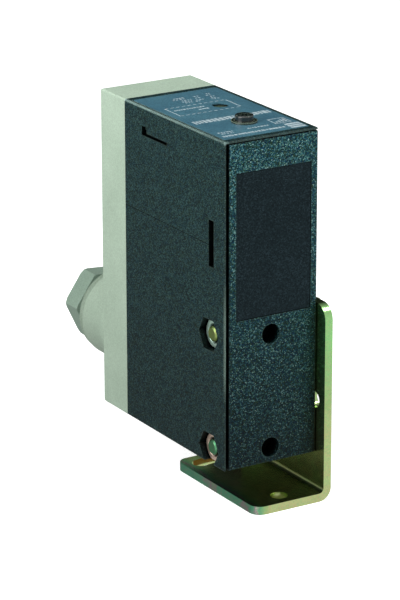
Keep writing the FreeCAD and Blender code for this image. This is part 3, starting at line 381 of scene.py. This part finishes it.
# -- hidden pieces
M["chassis"] = plastic("chassis_black_mat", lin(26, 27, 28), lin(38, 39, 40), rough=(0.6, 0.75), spec=0.3)
M["header"] = plastic("header_black_mat", lin(24, 24, 26), lin(36, 36, 38), rough=(0.4, 0.55))
M["relay"] = plastic("relay_blue_mat", lin(40, 84, 150), lin(50, 98, 168), rough=(0.3, 0.42))
M["cap"] = plastic("capacitor_sleeve_mat", lin(30, 34, 52), lin(42, 46, 66), rough=(0.2, 0.3))
M["var"] = plastic("varistor_blue_mat", lin(54, 110, 168), lin(66, 124, 182), rough=(0.4, 0.55), depth=0.00003, grain=1200.0)
M["trim"] = plastic("trimmer_white_mat", lin(208, 206, 196), lin(222, 220, 210), rough=(0.4, 0.5))
M["term"] = plastic("terminal_grey_mat", lin(104, 116, 110), lin(118, 130, 124), rough=(0.45, 0.6))
M["rubber"] = plastic("seal_rubber_mat", lin(24, 24, 25), lin(36, 36, 37), rough=(0.6, 0.8), grain=1500.0, depth=0.00002, spec=0.3)
M["foam"] = plastic("gasket_foam_mat", lin(28, 28, 30), lin(44, 44, 46), rough=(0.85, 0.95), grain=3000.0, depth=0.00006, spec=0.2)
M["diode"] = plastic("photodiode_black_mat", lin(34, 24, 26), lin(44, 32, 34), rough=(0.12, 0.2))

m = Mat("board_green_mat")
cellv = m.voronoi(260.0, "DISTANCE_TO_EDGE", vec=m.scaled(1, 1, 1))
trace = m.ramp(cellv, [(0.0, (0.07, 0.30, 0.16, 1)), (0.05, (0.07, 0.30, 0.16, 1)), (0.08, (0.03, 0.17, 0.09, 1)), (1.0, (0.03, 0.17, 0.09, 1))])
m.set(base=trace, rough=0.3, spec=0.5, normal=m.bump(cellv, 0.00002))
M["board"] = m.m


def clear(name, tint, rough, ior):
    m = Mat(name)
    n = m.noise(240.0, 2.0, 0.5)
    m.set(base=m.ramp(n, [(0.3, tint), (0.7, (min(1, tint[0] * 1.05), min(1, tint[1] * 1.05), min(1, tint[2] * 1.05), 1))]),
          rough=rough, ior=ior, trans=0.9, normal=m.bump(n, 0.00001))
    return m.m


M["lens"] = clear("lens_clear_mat", (0.86, 0.90, 0.92, 1), 0.05, 1.49)
M["led_clear"] = clear("led_clear_mat", (0.75, 0.80, 0.95, 1), 0.08, 1.52)
M["led_amber"] = clear("led_amber_mat", (0.72, 0.58, 0.16, 1), 0.3, 1.52)

for node, key in {
        "body_shell": "body", "front_bezel": "bezel", "filter_window": "window", "window_gasket": "foam", "lens_plate": "lens",
        "optics_chassis": "chassis", "optics_board": "board", "emitter_led": "led_clear", "receiver_photodiode": "diode",
        "receiver_shield": "tin", "main_board": "board", "board_header": "header", "output_relay": "relay",
        "reservoir_capacitor": "cap", "surge_varistor": "var", "top_board": "board", "potentiometer_body": "trim",
        "indicator_led": "led_amber", "terminal_block": "term", "terminal_screws": "tin", "label_plate": "label",
        "led_window": "ledwin", "adjuster_ring": "ring", "sensitivity_spindle": "spindle", "rear_cover": "cover",
        "cover_gasket": "rubber", "cover_screws": "tin", "gland_seal": "rubber", "gland_thrust_ring": "tin", "gland_nut": "gland",
        "mounting_bracket": "bracket", "bracket_screws": "screw", "flat_washers": "screw", "spring_washers": "screw",
        "bracket_nuts": "nut"}.items():
    assign(node, M[key])

# ---------------------------------------------------------------- label print
lo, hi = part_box("label_plate")
bx0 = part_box("body_shell")[0]
X0, Y0 = bx0[0], bx0[1]          # left and front faces of the housing
ZL = hi[2]                        # top of the label plate
PT = 0.02 * MM                    # ink thickness


def slab(bm, x0, x1, y0, y1, z=None, t=PT):
    z = ZL if z is None else z
    v = [bm.verts.new((X0 + x * MM, Y0 + y * MM, z + dz)) for dz in (0.0, t) for x, y in ((x0, y0), (x1, y0), (x1, y1), (x0, y1))]
    for f in ((3, 2, 1, 0), (4, 5, 6, 7), (0, 1, 5, 4), (1, 2, 6, 5), (2, 3, 7, 6), (3, 0, 4, 7)):
        bm.faces.new([v[i] for i in f])


def finish_piece(bm, name, mat, body="housing", smooth=None):
    me = bpy.data.meshes.new(name)
    bmesh.ops.recalc_face_normals(bm, faces=bm.faces)
    bm.to_mesh(me)
    bm.free()
    o = bpy.data.objects.new(name, me)
    scene.collection.objects.link(o)
    me.materials.append(mat)
    if smooth is not None:
        for p in me.polygons:
            p.use_smooth = True
        bpy.context.view_layer.update()
        me.set_sharp_from_angle(angle=math.radians(smooth))
    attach(o, body)
    return o


def lcg(seed):
    state = [seed]

    def nxt():
        state[0] = (1103515245 * state[0] + 12345) % (2 ** 31)
        return state[0] / float(2 ** 31)
    return nxt


rnd = lcg(71)
bm = bmesh.new()


def words(x0, x1, y, tall, short=0.35, long=1.1, gap=0.28, stroke=None):
    """A row of plain blocks standing for print, none of them a letter."""
    x = x0
    while x < x1:
        w = short + (long - short) * rnd()
        e = min(x + w, x1)
        if e - x > 0.12:
            hgt = tall * (0.72 + 0.28 * rnd())
            slab(bm, x, e, y - hgt / 2, y + hgt / 2)
        x = e + gap * (0.7 + 0.9 * rnd())


# rows at the back of the label
for yy, a, b in ((41.0, 10.2, 13.6), (39.9, 9.4, 12.8), (38.6, 11.2, 14.2), (37.4, 10.6, 13.4), (36.3, 10.9, 13.0),
                 (40.6, 15.9, 17.3), (39.0, 15.4, 16.9), (37.4, 14.8, 17.2), (36.3, 14.0, 15.2),
                 (41.4, 20.0, 21.4), (40.0, 19.2, 20.4), (38.6, 19.6, 21.0), (37.2, 19.0, 20.6), (36.2, 18.8, 21.2)):
    words(a, b, yy, 0.55, 0.25, 0.6, 0.35)
# dashed frame round the indicator window
x = 3.5
while x < 21.0:
    slab(bm, x, min(x + 0.95, 21.2), 33.72, 33.98)
    slab(bm, x, min(x + 0.95, 21.2), 26.12, 26.38)
    x += 1.62
for a, b in ((26.12, 33.98),):
    slab(bm, 3.30, 3.56, a, b)
    slab(bm, 21.04, 21.30, a + 0.4, b - 0.4)
words(4.6, 13.2, 31.2, 0.75, 0.3, 0.8, 0.22)
words(10.6, 13.4, 29.2, 0.9, 0.3, 0.8, 0.2)
# tall row of plain bars
x = 2.7
while x < 24.2:
    w = 0.45 + 0.75 * rnd()
    e = 0.25 * rnd()
    slab(bm, x, x + w, 17.4 + e, 20.0 - 0.25 * rnd())
    x += w + 0.36
# small rows near the front
words(2.8, 7.4, 7.7, 0.7, 0.3, 0.7, 0.3)
words(3.2, 6.6, 6.5, 0.5, 0.3, 0.7, 0.3)
words(11.4, 17.4, 7.7, 0.7, 0.3, 0.8, 0.25)
words(2.2, 20.0, 4.4, 1.15, 0.4, 1.0, 0.22)
# plain boxes at the front right corner
for x0, x1, y0, y1 in ((19.6, 24.2, 7.7, 7.95), (19.6, 24.2, 11.8, 12.05), (19.6, 19.85, 7.95, 11.8), (23.95, 24.2, 7.95, 11.8)):
    slab(bm, x0, x1, y0, y1)
for k in range(4):
    slab(bm, 20.4 + 0.9 * k, 20.85 + 0.9 * k, 8.6, 9.4 + 0.55 * k)
slab(bm, 21.0, 25.2, 5.5, 6.6)
slab(bm, 21.0, 25.2, 4.0, 5.1)
slab(bm, 21.0, 25.2, 2.5, 3.6)
finish_piece(bm, "label_print", M["print"])

# ---------------------------------------------------------------- stage
def plane(name, size, z, mat):
    bm = bmesh.new()
    v = [bm.verts.new((x * size, y * size, z)) for x, y in ((-1, -1), (1, -1), (1, 1), (-1, 1))]
    bm.faces.new(v)
    me = bpy.data.meshes.new(name)
    bm.to_mesh(me)
    bm.free()
    o = bpy.data.objects.new(name, me)
    scene.collection.objects.link(o)
    me.materials.append(mat)
    return o


m = Mat("floor_mat")
n = m.noise(8.0, 2.0, 0.5)
m.set(base=m.ramp(n, [(0.3, (0.88, 0.88, 0.88, 1)), (0.7, (0.90, 0.90, 0.90, 1))]), rough=0.9, spec=0.1,
      emit=(1.0, 1.0, 1.0, 1), emit_s=0.75)
floor = plane("floor", 6.0, -0.00005, m.m)
floor.visible_glossy = False
floor.visible_diffuse = False
floor.visible_shadow = False
# contact shade: it lies wholly under the foot and shows only through the foot's holes
m = Mat("shade_mat")
n = m.noise(300.0, 3.0, 0.6)
# the patch's emission paints the dim olive and brown light seen through the holes
m.set(base=m.ramp(n, [(0.35, (0.10, 0.09, 0.05, 1)), (0.65, (0.16, 0.12, 0.07, 1))]), rough=0.9, spec=0.1,
      emit=m.mix(m.vary(m.axis("Y"), -0.005, 0.006, 0.0, 1.0), (0.075, 0.085, 0.045, 1), (0.15, 0.062, 0.022, 1)), emit_s=1.0)
flo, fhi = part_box("mounting_bracket")
bm = bmesh.new()
bm.faces.new([bm.verts.new(v) for v in ((flo[0] + 0.0015, flo[1] + 0.0035, -0.00004), (fhi[0] - 0.003, flo[1] + 0.0035, -0.00004),
                                        (fhi[0] - 0.003, fhi[1] - 0.0035, -0.00004), (flo[0] + 0.0015, fhi[1] - 0.0035, -0.00004))])
me = bpy.data.meshes.new("foot_shade")
bm.to_mesh(me)
bm.free()
patch = bpy.data.objects.new("foot_shade", me)
scene.collection.objects.link(patch)
me.materials.append(m.m)

world = bpy.data.worlds.new("studio")
scene.world = world
world.use_nodes = True
wt = world.node_tree
bg = wt.nodes["Background"]
wc = wt.nodes.new("ShaderNodeTexCoord")
ws = wt.nodes.new("ShaderNodeSeparateXYZ")
wt.links.new(wc.outputs["Generated"], ws.inputs[0])


def wmath(op, a, b):
    n = wt.nodes.new("ShaderNodeMath")
    n.operation = op
    for i, v in enumerate((a, b)):
        if hasattr(v, "is_output"):
            wt.links.new(v, n.inputs[i])
        else:
            n.inputs[i].default_value = v
    return n.outputs[0]


def lobe(d, power, gain):
    """A soft patch of the tent round direction d."""
    n = wt.nodes.new("ShaderNodeVectorMath")
    n.operation = "DOT_PRODUCT"
    wt.links.new(wc.outputs["Generated"], n.inputs[0])
    n.inputs[1].default_value = Vector(d).normalized()
    return wmath("MULTIPLY", wmath("POWER", wmath("MAXIMUM", n.outputs["Value"], 0.0), power), gain)


# soft tent: even, a little brighter in front, with a dark gap behind on the right
level = wmath("ADD", 0.58, lobe((0.35, -0.88, -0.30), 2.0, 0.18))
level = wmath("SUBTRACT", level, lobe((0.52, 0.78, 0.36), 3.0, 0.57))
level = wmath("SUBTRACT", level, lobe((-0.40, 0.88, 0.20), 4.0, 0.42))
level = wmath("SUBTRACT", level, lobe((0.10, 0.20, -0.97), 2.0, 0.20))
level = wmath("MAXIMUM", level, 0.012)
wt.links.new(level, bg.inputs["Strength"])
bg.inputs["Color"].default_value = (1.0, 1.0, 1.0, 1)


def area(name, loc, target, size, power, color=(1, 1, 1), along=None, gloss_only=False):
    d = bpy.data.lights.new(name, "AREA")
    d.shape = "RECTANGLE"
    d.size, d.size_y = size
    d.energy = power
    d.color = color
    o = bpy.data.objects.new(name, d)
    scene.collection.objects.link(o)
    o.location = loc
    direction = (Vector(target) - Vector(loc)).normalized()
    o.rotation_euler = direction.to_track_quat("-Z", "Y").to_euler()
    if along is not None:
        zax = -direction
        xax = (Vector(along) - zax * Vector(along).dot(zax)).normalized()
        yax = zax.cross(xax)
        o.rotation_euler = Matrix((xax, yax, zax)).transposed().to_euler()
    if gloss_only:
        o.visible_diffuse = False
        o.visible_transmission = False
    return o


C = (0.0, 0.0, 0.05)
area("key_top", (-0.10, 0.00, 0.75), C, (0.5, 0.5), 1.45)
area("key_left", (-0.36, -0.02, 0.24), C, (0.30, 0.30), 0.95)
# strips that only draw the highlights along the edges
area("strip_back", (-0.14, 0.68, 0.47), (0.0, 0.0, 0.09), (0.34, 0.12), 0.55, (1.0, 0.98, 0.88), along=(-0.84, 0.0, -0.54), gloss_only=True)
area("strip_left", (-0.385, -0.235, -0.10), (-0.0165, -0.0155, 0.044), (0.24, 0.05), 0.22, (0.97, 1.0, 0.94), along=(0.5, -0.82, 0.0), gloss_only=True)
area("strip_front", (0.40, -0.27, 0.74), (0.0, -0.015, 0.097), (0.34, 0.10), 1.3, (0.95, 1.0, 0.96), along=(0.0, 0.93, 0.35), gloss_only=True)

# ---------------------------------------------------------------- camera
cam_data = bpy.data.cameras.new("camera")
cam = bpy.data.objects.new("camera", cam_data)
scene.collection.objects.link(cam)
scene.camera = cam
cam_data.sensor_width = 36.0
cam_data.sensor_fit = "AUTO"
cam_data.lens = 189.0
cam_data.clip_start = 0.01
cam_data.clip_end = 50.0
az, el, roll = math.radians(31.28), math.radians(18.48), math.radians(-0.10)
fwd = Vector((math.sin(az) * math.cos(el), math.cos(az) * math.cos(el), -math.sin(el)))
right = Vector((math.cos(az), -math.sin(az), 0.0))
up = right.cross(fwd)
right, up = right * math.cos(roll) + up * math.sin(roll), up * math.cos(roll) - right * math.sin(roll)
rot = Matrix((right, up, -fwd)).transposed()
cam.matrix_world = Matrix.Translation((-0.4001, -0.6354, 0.3008)) @ rot.to_4x4()

scene.view_settings.view_transform = "Standard"
scene.view_settings.look = "None"
scene.view_settings.exposure = 0.0
scene.view_settings.gamma = 1.0
